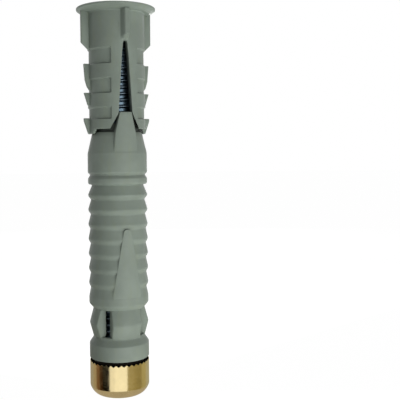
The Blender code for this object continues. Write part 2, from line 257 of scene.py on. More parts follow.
def blade(outline, half_width, segments, offset):
    """A curved plate across +Y: the outline swept sideways as far as its half width at each height."""
    bm = bmesh.new()
    bmesh.ops.spin(bm, geom=wire(bm, outline, True), cent=(0, 0, 0), axis=(0, 0, 1),
                   angle=math.radians(90), steps=segments)
    bmesh.ops.holes_fill(bm, edges=[edge for edge in bm.edges if edge.is_boundary], sides=0)

    def spread(radius, angle, height):
        side = angle / math.radians(45) - 1
        half = half_width(height)
        return radius, math.radians(90) - side * math.asin(half / radius), height

    reshape(bm, spread)
    bmesh.ops.recalc_face_normals(bm, faces=bm.faces)
    round_edges(bm, sharp_edges(bm, 40), offset)
    return bm


def plate(outline, thickness, offset):
    """A flat plate across the plane y = 0 with rounded edges; the outline is in x and height."""
    bm = bmesh.new()
    face = bm.faces.new([bm.verts.new((x, -thickness / 2, height)) for x, height in outline])
    grown = bmesh.ops.extrude_face_region(bm, geom=[face])["geom"]
    moved = [item for item in grown if isinstance(item, bmesh.types.BMVert)]
    bmesh.ops.translate(bm, verts=moved, vec=(0, thickness, 0))
    bmesh.ops.recalc_face_normals(bm, faces=bm.faces)
    round_edges(bm, sharp_edges(bm, 15), offset)
    return bm


def join(parts):
    """One bmesh from several closed ones."""
    whole = bmesh.new()
    for part in parts:
        mesh = bpy.data.meshes.new("part")
        part.to_mesh(mesh)
        part.free()
        whole.from_mesh(mesh)
        bpy.data.meshes.remove(mesh)
    return whole


def turned_copy(bm, degrees):
    """A copy of the mesh, turned about the axis."""
    copy = bm.copy()
    turn = Matrix.Rotation(math.radians(degrees), 3, "Z")
    bmesh.ops.rotate(copy, verts=copy.verts, cent=(0, 0, 0), matrix=turn)
    return copy


def mirrored(bm):
    """A copy of the mesh on the other side of x = 0."""
    copy = bm.copy()
    bmesh.ops.scale(copy, verts=copy.verts, vec=(-1, 1, 1))
    bmesh.ops.reverse_faces(copy, faces=copy.faces)
    return copy


def settle(name, bm, material, body, node):
    """Finish a piece: to metres, smooth shading, its material, and its place in the frame."""
    bmesh.ops.scale(bm, verts=bm.verts, vec=(MM, MM, MM))
    mesh = bpy.data.meshes.new(name)
    bm.to_mesh(mesh)
    bm.free()
    mesh.materials.append(material)
    mesh.shade_smooth()
    mesh.set_sharp_from_angle(angle=math.radians(SMOOTH_ANGLE))
    piece = bpy.data.objects.new(name, mesh)
    bpy.context.scene.collection.objects.link(piece)
    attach(piece, body)
    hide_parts(node)


# Upper sleeve

def slot_half(height):
    """Half the slot's width: a flare at the mouth, a long taper and a round tip."""
    if height > SLOT_TIP - 0.001:
        return 0.0
    if height > SLOT_ROUND:
        return SLOT_ROUND_HALF * math.sqrt(max(0.0, 1 - ((height - SLOT_ROUND) / SLOT_ROUND_HALF) ** 2))
    return between(height, (
        (SKIRT_END - 3.0, 4.52), (SKIRT_END, 2.94), (KEY_TOP - 0.3, 1.44), (KEY_TOP, 1.39),
        (SLOT_TIP - 2.6, 0.66), (SLOT_ROUND, SLOT_ROUND_HALF),
    ))


def pocket_depth(height):
    """How deep the pockets are at a height: steep below, sloping above."""
    full = SKIRT - POCKET_FLOOR
    for rise, tall in POCKETS:
        low = SKIRT_END + rise
        table = ((low - 0.03, 0.0), (low + 0.06, full * 0.35), (low + 0.24, full),
                 (low + tall - 0.30, full), (low + tall, 0.0))
        if low - 0.03 < height < low + tall:
            return between(height, table)
    return 0.0


def skirt_heights():
    """Heights of the skirt's rows, close together at the pockets and at the slot's tip."""
    heights = set(steps_between(SKIRT_END + 0.14, SLOT_TIP - 0.5, 0.3))
    for rise, tall in POCKETS:
        low = SKIRT_END + rise
        high = low + tall
        heights.update((low - 0.06, low - 0.03, low + 0.06, low + 0.15, low + 0.24, low + 0.28))
        heights.update((high - 0.34, high - 0.30, high - 0.15, high, high + 0.04))
    heights.update((KEY_TOP - 0.3, KEY_TOP))
    heights.update(steps_between(SLOT_TIP - 0.45, SLOT_TIP - 0.09, 0.05))
    heights.update((SLOT_TIP - 0.05, SLOT_TIP - 0.02, SLOT_TIP))
    heights.update(steps_between(SLOT_TIP + 0.1, FLANGE_UNDERSIDE - 0.3, 0.18))
    rows = []
    for height in sorted(heights):
        if not rows or height - rows[-1] > 0.018:
            rows.append(height)
    return rows


def skirt_rows():
    """Matching (radius, height) rows of the outer and the inner side, from the skirt's end to the top."""
    rows = skirt_heights()
    outer = [(5.56, SKIRT_END), (5.62, SKIRT_END + 0.012), (5.67, SKIRT_END + 0.05), (5.695, SKIRT_END + 0.1)]
    inner = [(5.10, SKIRT_END), (5.06, SKIRT_END + 0.012), (5.05, SKIRT_END + 0.05), (5.05, SKIRT_END + 0.1)]
    outer += [(SKIRT, height) for height in rows]
    inner += [(BORE, height) for height in rows]

    rim_foot = FLANGE_UNDERSIDE - MOUTH_ROUND
    outer += arc((SKIRT + MOUTH_ROUND, rim_foot), MOUTH_ROUND, 180, 90, 4)
    outer += [(radius, FLANGE_UNDERSIDE + rise) for radius, rise in RIM_UNDERSIDE]
    crown = arc((0.0, 0.0), 1.0, 0, 90, 8)
    outer += [(6.60 + 1.28 * across, RIM_TOP - 0.22 + 0.22 * up) for across, up in crown]
    outer += [(5.8, RIM_TOP), (5.2, RIM_TOP)]

    mouth = [(BORE + 0.04, RIM_TOP - 0.12), (BORE + 0.12, RIM_TOP - 0.04), (BORE + MOUTH_ROUND, RIM_TOP)]
    count = len(outer) - len(inner) - len(mouth) - 1
    tall = RIM_TOP - MOUTH_ROUND - rim_foot
    inner += [(BORE, rim_foot + tall * index / count) for index in range(count + 1)]
    return outer, inner + mouth


def half_ring(outer, inner, segments):
    """Half of the sleeve on the +X side, with end walls along the slots and none above them."""
    bm = bmesh.new()
    geom = wire(bm, [(-radius, height) for radius, height in outer], False)
    edges = [item for item in geom if isinstance(item, bmesh.types.BMEdge)]
    grown = bmesh.ops.extrude_edge_only(bm, edges=edges)["geom"]
    moved = {item for item in grown if isinstance(item, bmesh.types.BMVert)}
    for vert, (radius, height) in zip(geom[:len(outer)], inner):
        twin = next(edge.other_vert(vert) for edge in vert.link_edges if edge.other_vert(vert) in moved)
        twin.co = (-radius, 0, height)
    turn = Matrix.Rotation(math.radians(90), 3, "Z")
    bmesh.ops.rotate(bm, verts=bm.verts, cent=(0, 0, 0), matrix=turn)
    bmesh.ops.spin(bm, geom=bm.verts[:] + bm.edges[:] + bm.faces[:], cent=(0, 0, 0), axis=(0, 0, 1),
                   angle=math.pi, steps=segments)
    bmesh.ops.remove_doubles(bm, verts=bm.verts, dist=1e-5)
    ends = [face for face in bm.faces if all(abs(vert.co.x) < 1e-4 for vert in face.verts)]
    above = [face for face in ends if face.calc_center_median().z > SLOT_TIP]
    bmesh.ops.delete(bm, geom=above, context="FACES")
    return bm


def sleeve_rule(radius, angle, height):
    """Opens the slots, sinks the pockets, raises the ribs and lets the tabs down."""
    outside = radius > BORE + 0.95 or height > FLANGE_UNDERSIDE
    side = 1 if angle >= 0 else -1
    from_slot = math.degrees(math.pi / 2 - abs(angle))
    column = 180 / UPPER_STEPS
    strip_column = round(29.42 / column) * column
    strip = math.degrees(math.asin(STRIP_HALF / SKIRT))

    near_tabs = 1 - smooth(height, SKIRT_END + 0.35, SKIRT_END + 1.7)
    slot = math.degrees(math.asin(min(0.99, slot_half(height) / max(radius, BORE))))
    edge = max(strip, slot + 8)
    if from_slot < strip_column:
        turned = slot + from_slot / strip_column * (edge - slot)
    else:
        turned = edge + (from_slot - strip_column) / (90 - strip_column) * (90 - edge)
    angle = side * math.radians(90 - turned)

    across = abs(radius * math.sin(angle))
    drop = 0.0
    if across < 3.0 and height < SKIRT_END + 1.7:
        drop = between(across / radius * SKIRT, TAB_DROP)
    lowered = height - drop * near_tabs

    if not outside or (radius < 5.2 and height < SKIRT_END + 0.2):
        if height < SKIRT_END + 8:
            seat = BARREL - NOSE_SLOPE * (lowered - BARREL_TOP) + WEDGE_GAP
            lip = 0.05 if height < SKIRT_END + 0.005 else 0.0
            radius = max(BORE, seat) + lip
    elif height < FLANGE_UNDERSIDE + 0.001:
        if abs(radius - SKIRT) < 1e-3:
            beyond = from_slot - strip_column
            side_slope = min(1.0, max(0.0, beyond / (2 * column)))
            radius -= pocket_depth(height) * side_slope * (1 + 1.1 * (1 - smooth(beyond, 0, 52)))
        if height > SLOT_TIP + 0.05:
            beside = abs(SKIRT * math.cos(angle))
            proud = between(beside, RIB_SECTION) * between(height - SLOT_TIP, RIB_START)
            if proud > 0:
                radius = max(radius, SKIRT + proud)
    return radius, angle, lowered


def fins():
    """Four barbs on the +X side, each a thin plate rooted in the wall."""
    plates = []
    for root, corners in BARBS:
        outline = [(radius, SKIRT_END + rise) for rise, radius in corners]
        outline += [(root, outline[-1][1]), (root, outline[0][1])]
        plates.append(plate(outline, FIN_THICKNESS, 0.09))
    return plates


def upper_sleeve_mesh():
    outer, inner = skirt_rows()
    half = half_ring(outer, inner, UPPER_STEPS)
    reshape(half, sleeve_rule)
    body = join([mirrored(half), half])
    bmesh.ops.remove_doubles(body, verts=body.verts, dist=2e-4)
    bmesh.ops.recalc_face_normals(body, faces=body.faces)
    side = join(fins())
    return join([body, mirrored(side), side])


# Lower sleeve

def rib_outline():
    """Outer side of the ribbed barrel from the legs up to the nose."""
    points = [
        (5.02, WAIST_HIGH - 0.05), (5.10, WAIST_HIGH + 0.05),
        (COLLAR, WAIST_HIGH + 1.0), (COLLAR, WAIST_HIGH + 2.3),
    ]
    for index, valley in enumerate(RIB_VALLEYS[:-1]):
        low = FIRST_VALLEY + RIB_PITCH * index
        points += [(valley, low), (valley + (BARREL - valley) * 0.8, low + 0.55), (BARREL, low + 0.95)]
    points += [
        (RIB_VALLEYS[-1], LAST_VALLEY),
        (5.77, LAST_VALLEY + 0.15),
        (5.87, LAST_VALLEY + 0.5),
        (5.87, LAST_VALLEY + 1.3),
        (5.43, GROOVE),
        (BARREL, GROOVE + 0.5),
        (BARREL, BARREL_TOP),
        (BARREL - NOSE_SLOPE * 4.2, BARREL_TOP + 4.15),
        (SPIGOT, BARREL_TOP + 4.2),
        (SPIGOT, NOSE_TOP),
    ]
    return points


def collar_outline():
    """The ring at the foot, hollowed for the nut's cone."""
    end = LOWER_END + 0.16
    return [
        (5.067, end), (COLLAR, end), (COLLAR, COLLAR_TOP), (5.12, WAIST_LOW - 0.12),
        (4.96, WAIST_LOW + 0.40), (4.30, WAIST_LOW + 0.40), (4.55, NUT_CONE_TOP),
    ]


def leg(half, segments):
    """One leg of the cross between the collar and the barrel, a double cone as wide as twice its half."""
    outline = [
        (4.50, WAIST_LOW - 0.4), (4.95, WAIST_LOW - 0.4), (5.06, WAIST_LOW),
        (5.44, WAIST_LOW + 1.42), (5.75, WAIST_LOW + 2.57), (5.80, WAIST_LOW + 2.84),
        (5.75, WAIST_LOW + 3.11), (5.44, WAIST_LOW + 4.26), (5.06, WAIST_HIGH),
        (4.95, WAIST_HIGH + 0.4), (BORE, WAIST_HIGH + 0.4), (BORE, WAIST_LOW + 0.97),
    ]
    return blade(outline, lambda height: half, segments, 0.14)


def spear():
    """The smooth spear-shaped field over the ribs, with a round tip."""
    low = FIRST_VALLEY - 1.95
    high = FIRST_VALLEY + 11.65
    width = ((FIRST_VALLEY - 1.2, 2.86), (FIRST_VALLEY, 2.72), (high - 0.7, 0.80),
             (high - 0.35, 0.70), (high - 0.12, 0.50), (high, 0.26))
    rows = steps_between(low, high - 0.7, 1.2)
    rows += [high - 0.35, high - 0.12, high]
    outline = [(between(height, ((low, 5.84), (FIRST_VALLEY + 0.4, 5.91))), height) for height in rows]
    outline += [(5.0, height) for height in reversed(rows)]
    return blade(outline, lambda height: between(height, width), 20, 0.10)


def key():
    """The tapering key that runs in the upper sleeve's slot."""
    foot = BARREL_TOP - 1.2
    bend = KEY_TOP - 4.1
    width = ((BARREL_TOP, 2.46), (bend, 2.12), (KEY_TOP, 1.19))
    rows = sorted(set(steps_between(foot, KEY_TOP, 0.9)) | {BARREL_TOP, bend})
    outline = [(5.86 - 0.08 * (height - foot) / (KEY_TOP - foot), height) for height in rows]
    outline += [(4.30, height) for height in reversed(rows)]
    return blade(outline, lambda height: between(height, width), 16, 0.12)


def lower_sleeve_mesh():
    barrel = rib_outline() + [(BORE, NOSE_TOP), (BORE, WAIST_HIGH - 0.05)]
    parts = [
        revolve(softened(barrel, 0.20, 4), LOWER_STEPS),
        revolve(softened(collar_outline(), 0.16, 3), LOWER_STEPS),
    ]
    for part in (leg(FRONT_LEG_HALF, 20), spear(), key()):
        parts += [turned_copy(part, 180), part]
    side_leg = leg(SIDE_LEG_HALF, 16)
    parts += [turned_copy(side_leg, 90), turned_copy(side_leg, -90)]
    side_leg.free()
    return join(parts)


# Cone nut and stud

def nut_mesh(sizes):
    teeth = sizes.nut_teeth
    corner = []
    for angle in range(0, 91, 6):
        across = 0.6 * math.sin(math.radians(angle)) + 0.4 * angle / 90
        up = 0.6 * (1 - math.cos(math.radians(angle))) + 0.4 * angle / 90
        corner.append((NUT_FOOT + (NUT_WALL - NUT_FOOT) * across, NUT_CORNER * up))
    wall = [(NUT_WALL, height) for height in steps_between(NUT_CORNER + 0.4, 5.3, 0.5)]
    rim = [(NUT_WALL, 5.5), (NUT_WALL, 5.9), (NUT_WALL, 6.3), (NUT_WALL, NUT_RIM), (5.82, NUT_RIM + 0.02),
           (5.6, NUT_RIM), (5.2, NUT_RIM), (4.95, NUT_RIM), (4.90, NUT_RIM + 0.1)]
    cone = [(4.32, NUT_CONE_TOP - 0.1), (4.22, NUT_CONE_TOP), (4.12, NUT_CONE_TOP),
            (NUT_BORE, NUT_CONE_TOP - 0.1)]
    foot = [(NUT_BORE, 0.35), (4.14, 0.08), (4.19, 0.0)]
    body = revolve(corner[1:] + wall + rim + cone + foot, teeth * 8)

    def cut_teeth(radius, angle, height):
        if radius > 5.1 and height > 5.5:
            phase = (angle * teeth / math.tau) % 1.0
            rise = -0.20 + 0.36 * (1 - abs(2 * phase - 1))
            height += rise * smooth(height, TOOTH_ROOT, NUT_RIM)
        return radius, angle, height

    reshape(body, cut_teeth)
    bmesh.ops.recalc_face_normals(body, faces=body.faces)
    pitch = sizes.thread_pitch / MM
    section = [(4.25, -0.5), (3.47, -0.07), (3.44, 0.0), (3.47, 0.07), (4.25, 0.5)]
    turns = math.floor((NUT_CONE_TOP - 1.4) / pitch)
    ridge = coil(section, turns, pitch, 72, thread_start(pitch) - pitch / 2)

    def ease_ends(radius, angle, height):
        reach = 4.12 - min(height - 0.25, NUT_CONE_TOP - 0.2 - height)
        return max(radius, reach), angle, min(max(height, 0.2), NUT_CONE_TOP - 0.15)

    reshape(ridge, ease_ends)
    bmesh.ops.recalc_face_normals(ridge, faces=ridge.faces)
    return join([body, ridge])


def thread_start(pitch):
    """Height of the stud's first ridge at angle 0."""
    return STUD_FOOT + 0.63 * pitch


def stud_mesh(sizes):
    pitch = sizes.thread_pitch / MM
    crest = sizes.thread_crest / MM
    core = crest - THREAD_ROOT_DEPTH
    low = STUD_FOOT
    high = STUD_TOP
    socket = SOCKET_CORNER
    outline = [
        (0.0, low + 0.25), (0.7, low), (core - 0.35, low), (core - 0.1, low + 0.1), (core, low + 0.35),
        (core, high - 0.75), (3.50, high - 0.55), (3.53, high - 0.10), (3.46, high), (socket + 0.18, high),
        (socket, high - 0.16), (socket, high - 3.9), (socket - 0.3, high - 4.0), (0.0, high - 4.9),
    ]
    body = revolve(outline, 72, closed=False)

    def cut_socket(radius, angle, height):
        if abs(radius - socket) < 0.01 and height > high - 4.5:
            sixth = (angle + math.pi / 6) % (math.pi / 3) - math.pi / 6
            radius = 2.0 / math.cos(sixth)
        return radius, angle, height

    reshape(body, cut_socket)
    bmesh.ops.recalc_face_normals(body, faces=body.faces)

    rise = (crest - core + 0.12) * math.tan(math.radians(29))
    section = [
        (core - 0.12, -0.07 - rise), (crest - 0.05, -0.10), (crest - 0.012, -0.06), (crest, 0.0),
        (crest - 0.012, 0.06), (crest - 0.05, 0.10), (core - 0.12, 0.07 + rise),
    ]
    first = thread_start(pitch)
    turns = math.floor((high - first - 1.2 * pitch) / pitch)
    ridge = coil(section, turns, pitch, 64, first)

    def ease_ends(radius, angle, height):
        reach = core - 0.12 + 0.9 * min(height - low, high - height)
        return min(radius, max(reach, core - 0.12)), angle, height

    reshape(ridge, ease_ends)
    bmesh.ops.recalc_face_normals(ridge, faces=ridge.faces)
    return join([body, ridge])


# Materials

class Link:
    """A shader socket that adds Math nodes when it is used in an expression."""

    def __init__(self, shader, socket):
        self.shader = shader
        self.socket = socket

    def _math(self, operation, first, second):
        return self.shader.add("ShaderNodeMath", {"operation": operation}, {0: first, 1: second})["Value"]

    def __add__(self, other):
        return self._math("ADD", self, other)

    __radd__ = __add__

    def __mul__(self, other):
        return self._math("MULTIPLY", self, other)

    __rmul__ = __mul__

    def __pow__(self, other):
        return self._math("POWER", self, other)

    def __abs__(self):
        return self._math("ABSOLUTE", self, 0.0)


class Outputs:
    """The output sockets of one node, read by name."""

    def __init__(self, shader, node):
        self.shader = shader
        self.node = node

    def __getitem__(self, name):
        return Link(self.shader, self.node.outputs[name])


class Shader:
    """A node tree that is filled one node at a time."""

    def __init__(self, tree):
        self.tree = tree
        self.tree.nodes.clear()

    def add(self, kind, settings=None, inputs=None):
        """Add a node of a kind, with its settings first and then the values or links of its sockets."""
        node = self.tree.nodes.new(kind)
        for name, value in (settings or {}).items():
            setattr(node, name, value)
        for name, value in (inputs or {}).items():
            if isinstance(value, Link):
                self.tree.links.new(value.socket, node.inputs[name])
            else:
                node.inputs[name].default_value = value
        return Outputs(self, node)

    def noise(self, vector, scale, detail, roughness):
        return self.add("ShaderNodeTexNoise", {}, {
            "Vector": vector, "Scale": scale, "Detail": detail, "Roughness": roughness,
        })["Fac"]

    def stretch(self, vector, scale):
        return self.add("ShaderNodeMapping", {}, {"Vector": vector, "Scale": scale})["Vector"]

    def remap(self, value, low, high, to_low, to_high):
        return self.add("ShaderNodeMapRange", {"interpolation_type": "SMOOTHSTEP"}, {
            "Value": value, "From Min": low, "From Max": high, "To Min": to_low, "To Max": to_high,
        })["Result"]

    def mix(self, factor, first, second):
        mixed = self.add("ShaderNodeMix", {"data_type": "RGBA"}, {0: factor, 6: first, 7: second})
        return Link(self, mixed.node.outputs[2])

    def larger(self, first, second):
        return self.add("ShaderNodeMath", {"operation": "MAXIMUM"}, {0: first, 1: second})["Value"]

    def axial(self, place):
        """The three axes, and the distance from the anchor's own axis."""
        axes = self.add("ShaderNodeSeparateXYZ", {}, {"Vector": place})
        return axes, (axes["X"] * axes["X"] + axes["Y"] * axes["Y"]) ** 0.5


def new_shader(name):
    material = bpy.data.materials.new(name)
    material.use_nodes = True
    return material, Shader(material.node_tree)


def rgba(colour):
    return (colour[0], colour[1], colour[2], 1.0)


def shade(colour, factor):
    """The colour made lighter or darker, worked out before it reaches a node."""
    return tuple(min(1.0, part * factor) for part in colour[:3]) + (1.0,)


def nylon_material(finish):
    """Satin moulded nylon: cloudy colour, fine grain, a faint mould line at the two sides, and painted shade
    on the surfaces close round the axis near the skirt's end and above.
    """
    material, shader = new_shader("Grey Green Nylon")
    place = shader.add("ShaderNodeTexCoord")["Object"]
    cloud = shader.noise(place, 160.0, 4.0, 0.55)
    streak = shader.noise(shader.stretch(place, (1.0, 1.0, 0.22)), 900.0, 3.0, 0.6)
    speck = shader.noise(place, 5200.0, 2.0, 0.6)
    base = finish.nylon_colour
    tone = shader.mix(shader.remap(cloud, 0.35, 0.65, 0.0, 1.0), shade(base, 0.93), shade(base, 1.06))
    warm = (base[0] * 1.05, base[1] * 1.03, base[2] * 0.90, 1.0)
    tone = shader.mix(shader.remap(streak, 0.45, 0.75, 0.0, 0.45), tone, warm)
    tone = shader.mix(shader.remap(speck, 0.62, 0.78, 0.0, 0.35), tone, shade(base, 0.78))

    axes, reach = shader.axial(place)
    # Painted shade: the surfaces close round the axis, in the bore and round the nose from just below the
    # skirt's end upward, are darkened towards near black.
    inner_painted_shade = shader.remap(reach, 0.0045, 0.0053, 0.88, 0.0)
    inner_painted_shade = inner_painted_shade * shader.remap(axes["Z"], 0.0505, 0.0512, 0.0, 1.0)
    tone = shader.mix(inner_painted_shade, tone, (0.012, 0.015, 0.012, 1.0))
    parting = shader.remap(abs(axes["Y"]), 0.00003, 0.00009, 1.0, 0.0)
    grain = shader.noise(place, 7000.0, 3.0, 0.6)
    height = grain * 0.35 + streak * 0.5 + parting * 0.8
    bump = shader.add("ShaderNodeBump", {}, {
        "Strength": 0.22, "Distance": 0.00006, "Height": height,
    })["Normal"]
    rough = finish.nylon_roughness
    surface = shader.add("ShaderNodeBsdfPrincipled", {}, {
        "Base Color": tone,
        "Roughness": shader.remap(streak, 0.3, 0.7, rough - 0.05, rough + 0.07),
        "Normal": bump,
        "IOR": 1.5,
        "Specular IOR Level": 0.3,
    })["BSDF"]
    shader.add("ShaderNodeOutputMaterial", {}, {"Surface": surface})
    return material


def brass_material(finish):
    """Turned and passivated brass: fine turning lines, small tone changes, a matt foot corner, and painted
    shade, near black and matt, over the nut's top under the collar.
    """
    material, shader = new_shader("Turned Yellow Brass")
    place = shader.add("ShaderNodeTexCoord")["Object"]
    rings = shader.noise(shader.stretch(place, (0.012, 0.012, 1.0)), 9000.0, 3.0, 0.65)
    cloud = shader.noise(place, 420.0, 4.0, 0.6)
    stain = shader.noise(place, 1700.0, 4.0, 0.65)
    base = finish.brass_colour
    tone = shader.mix(shader.remap(cloud, 0.35, 0.68, 0.0, 1.0), shade(base, 0.95), shade(base, 1.04))
    tone = shader.mix(shader.remap(stain, 0.64, 0.80, 0.0, 0.25), tone, shade(base, 0.70))
    axes, reach = shader.axial(place)
    # Painted shade: the rim top and the cone inside the teeth are darkened to near black, and also made matt.
    painted_top_shade = shader.remap(reach, 0.00579, 0.00584, 1.0, 0.0)
    painted_top_shade = painted_top_shade * shader.remap(axes["Z"], 0.0055, 0.0059, 0.0, 1.0)
    tone = shader.mix(painted_top_shade, tone, (0.012, 0.010, 0.008, 1.0))
    corner = shader.remap(axes["Z"], 0.0004, 0.0019, 1.0, 0.0)
    rough = shader.remap(stain, 0.35, 0.7, finish.brass_roughness, finish.brass_roughness + 0.06)
    rough = rough + corner * 0.16 + painted_top_shade * 0.45
    bump = shader.add("ShaderNodeBump", {}, {
        "Strength": 0.06, "Distance": 0.00002, "Height": rings + stain * 0.12,
    })["Normal"]
    surface = shader.add("ShaderNodeBsdfPrincipled", {}, {
        "Base Color": tone, "Metallic": 1.0, "Roughness": rough, "Normal": bump,
    })["BSDF"]
    shader.add("ShaderNodeOutputMaterial", {}, {"Surface": surface})
    return material


def steel_material(finish):
    """Blue zinc on a rolled thread: dark, a little cloudy, with a painted highlight on the thread crests and
    painted shade at the top end.
    """
    material, shader = new_shader("Blue Zinc Steel")
    place = shader.add("ShaderNodeTexCoord")["Object"]
    cloud = shader.noise(place, 700.0, 4.0, 0.6)
    fine = shader.noise(place, 5200.0, 3.0, 0.6)
    base = finish.steel_colour
    tone = shader.mix(shader.remap(cloud, 0.35, 0.68, 0.0, 1.0), shade(base, 0.72), shade(base, 1.18))
    axes, reach = shader.axial(place)
    # Painted highlight: the thread crests are given a lighter colour.
    crest_highlight = shader.remap(reach, 0.00372, 0.00392, 0.0, 0.6)
    tone = shader.mix(crest_highlight, tone, (0.14, 0.175, 0.205, 1.0))
    # Painted shade: the top end of the stud, where it rises out of the flange, is painted dark.
    end = shader.remap(axes["Z"], 0.0768, 0.0770, 0.0, 0.85)
    tone = shader.mix(end, tone, (0.065, 0.085, 0.065, 1.0))
    bump = shader.add("ShaderNodeBump", {}, {
        "Strength": 0.15, "Distance": 0.00002, "Height": fine,
    })["Normal"]
    rough = finish.steel_roughness
    surface = shader.add("ShaderNodeBsdfPrincipled", {}, {
        "Base Color": tone,
        "Metallic": 1.0,
        "Roughness": shader.remap(cloud, 0.3, 0.7, rough - 0.05, rough + 0.1),
        "Normal": bump,
    })["BSDF"]
    shader.add("ShaderNodeOutputMaterial", {}, {"Surface": surface})
    return material


# Stage

def stage_mesh(name, bm, material):
    mesh = bpy.data.meshes.new(name)
    bm.to_mesh(mesh)
    bm.free()
    mesh.materials.append(material)
    item = bpy.data.objects.new(name, mesh)
    bpy.context.scene.collection.objects.link(item)
    return item


def floor_material():
    """A pale table that shows white to the camera and keeps the shadow."""
    material, shader = new_shader("Pale Table")
    path = shader.add("ShaderNodeLightPath")
    surface = shader.add("ShaderNodeBsdfPrincipled", {}, {
        "Base Color": (0.86, 0.87, 0.86, 1.0), "Roughness": 0.9, "Specular IOR Level": 0.0,
    })["BSDF"]
    white = (1.0, 1.0, 1.0, 1.0)
    glow = shader.add("ShaderNodeEmission", {}, {"Color": white, "Strength": 1.1})["Emission"]
    seen = shader.larger(path["Is Camera Ray"], path["Is Glossy Ray"])
    mixed = shader.add("ShaderNodeMixShader", {}, {0: seen * 0.73 + 0.16, 1: surface, 2: glow})["Shader"]
    shader.add("ShaderNodeOutputMaterial", {}, {"Surface": mixed})
    return material


def card_material(name, colour):
    """A card of one even tone, for metal to mirror."""
    material, shader = new_shader(name)
    tone = shader.add("ShaderNodeEmission", {}, {"Color": rgba(colour), "Strength": 1.0})["Emission"]
    shader.add("ShaderNodeOutputMaterial", {}, {"Surface": tone})
    return material


VIEW_BACK = Vector((-0.3090, -0.9511, 0.0))
VIEW_RIGHT = Vector((0.9511, -0.3090, 0.0))


def around(degrees, distance, height):
    """A place at an angle to the right of the camera, seen from the anchor, in metres."""
    angle = math.radians(degrees)
    level = VIEW_BACK * math.cos(angle) + VIEW_RIGHT * math.sin(angle)
    return Vector((level.x * distance, level.y * distance, height))


def area_light(name, place, target, size, power, colour=(1.0, 1.0, 1.0)):
    light = bpy.data.lights.new(name, "AREA")
    light.shape = "RECTANGLE"
    light.size = size[0]
    light.size_y = size[1]
    light.energy = power
    light.color = colour
    item = bpy.data.objects.new(name, light)
    bpy.context.scene.collection.objects.link(item)
    item.location = place
    item.rotation_euler = (Vector(target) - place).to_track_quat("-Z", "Y").to_euler()


def hide_from(card, *rays):
    """Keeps a card out of sight of these kinds of ray."""
    for ray in rays:
        setattr(card, "visible_" + ray, False)


def table_card(name, start, end, material):
    """A card on the table that the nut's wall mirrors between two angles; only gloss sees it."""
    bm = bmesh.new()
    bmesh.ops.create_grid(bm, x_segments=12, y_segments=1, size=1.0)
    for vert in bm.verts:
        facing = start + (end - start) * (vert.co.x + 1) / 2
        reach = 0.0015 if vert.co.y < 0 else 0.06
        foot = around(facing, NUT_WALL * MM, 0.00008)
        vert.co = foot + around(2 * facing, reach, 0.0)
    bmesh.ops.recalc_face_normals(bm, faces=bm.faces)
    card = stage_mesh(name, bm, material)
    hide_from(card, "camera", "diffuse", "shadow")


def foot_card(material):
    """The dim place close round the nut that the rounded foot mirrors; only gloss sees it."""
    bm = bmesh.new()
    bmesh.ops.create_circle(bm, cap_ends=True, segments=96, radius=0.0072)
    bmesh.ops.translate(bm, verts=bm.verts, vec=(0.0, 0.0, 0.00005))
    card = stage_mesh("foot_card", bm, material)
    hide_from(card, "camera", "diffuse", "shadow")


def bounce_card(name, start, end, material):
    """A sector of the table that throws light up at the anchor from one side; only matt surfaces see it."""
    bm = bmesh.new()
    bmesh.ops.create_grid(bm, x_segments=12, y_segments=1, size=1.0)
    for vert in bm.verts:
        facing = start + (end - start) * (vert.co.x + 1) / 2
        vert.co = around(facing, 0.008 if vert.co.y < 0 else 0.20, 0.00004)
    bmesh.ops.recalc_face_normals(bm, faces=bm.faces)
    card = stage_mesh(name, bm, material)
    hide_from(card, "camera", "glossy", "shadow")


def stand_on_nut():
    """Ties the table and its cards to the nut, so that the anchor stands on them in every pose."""
    nut = bpy.data.objects["cone_nut_turning"]
    for item in bpy.context.scene.objects:
        if item.name == "table_top" or item.name.endswith("_card"):
            item.parent = nut.parent


def build_world(stage):
    world = bpy.data.worlds.new("Studio")
    world.use_nodes = True
    bpy.context.scene.world = world
    shader = Shader(world.node_tree)
    path = shader.add("ShaderNodeLightPath")
    seen = shader.larger(path["Is Camera Ray"], path["Is Glossy Ray"])
    seen = shader.larger(seen, path["Is Transmission Ray"])
    strength = seen * (1.0 - stage.world_strength) + stage.world_strength
    light = shader.add("ShaderNodeBackground", {}, {"Color": (1.0, 1.0, 1.0, 1.0), "Strength": strength})
    shader.add("ShaderNodeOutputWorld", {}, {"Surface": light["Background"]})


def build_camera():
    """A camera 143.6 mm away, level with a point 45.8 mm up and turned 4 degrees past the anchor."""
    camera = bpy.data.cameras.new("Camera")
    camera.sensor_width = 36.0
    camera.lens = 64.53
    camera.shift_x = 0.0812
    camera.shift_y = -0.0962
    camera.clip_start = 0.005
    camera.clip_end = 20.0
    item = bpy.data.objects.new("Camera", camera)
    bpy.context.scene.collection.objects.link(item)
    item.rotation_mode = "QUATERNION"
    ahead = -VIEW_BACK
    ahead.rotate(Matrix.Rotation(math.radians(-4.0), 3, "Z"))
    level = ahead.to_track_quat("-Z", "Y")
    roll = Matrix.Rotation(math.radians(-0.68), 4, "Z").to_quaternion()
    item.location = VIEW_BACK * 0.1436 + Vector((0.0, 0.0, 0.0458))
    item.rotation_quaternion = level @ roll
    bpy.context.scene.camera = item


# Settings

class AnchorSizes(bpy.types.PropertyGroup):
    thread_pitch: bpy.props.FloatProperty(
        name="Thread Pitch", description="Rise of the stud's thread in one turn",
        default=0.00125, min=0.0005, max=0.002, precision=5, unit="LENGTH")
    thread_crest: bpy.props.FloatProperty(
        name="Thread Crest Radius", description="Radius of the stud over the crests of its thread",
        default=0.00393, min=0.0035, max=0.0041, precision=5, unit="LENGTH")
    nut_teeth: bpy.props.IntProperty(
        name="Nut Teeth", description="Number of teeth round the nut's rim", default=36, min=12, max=60)


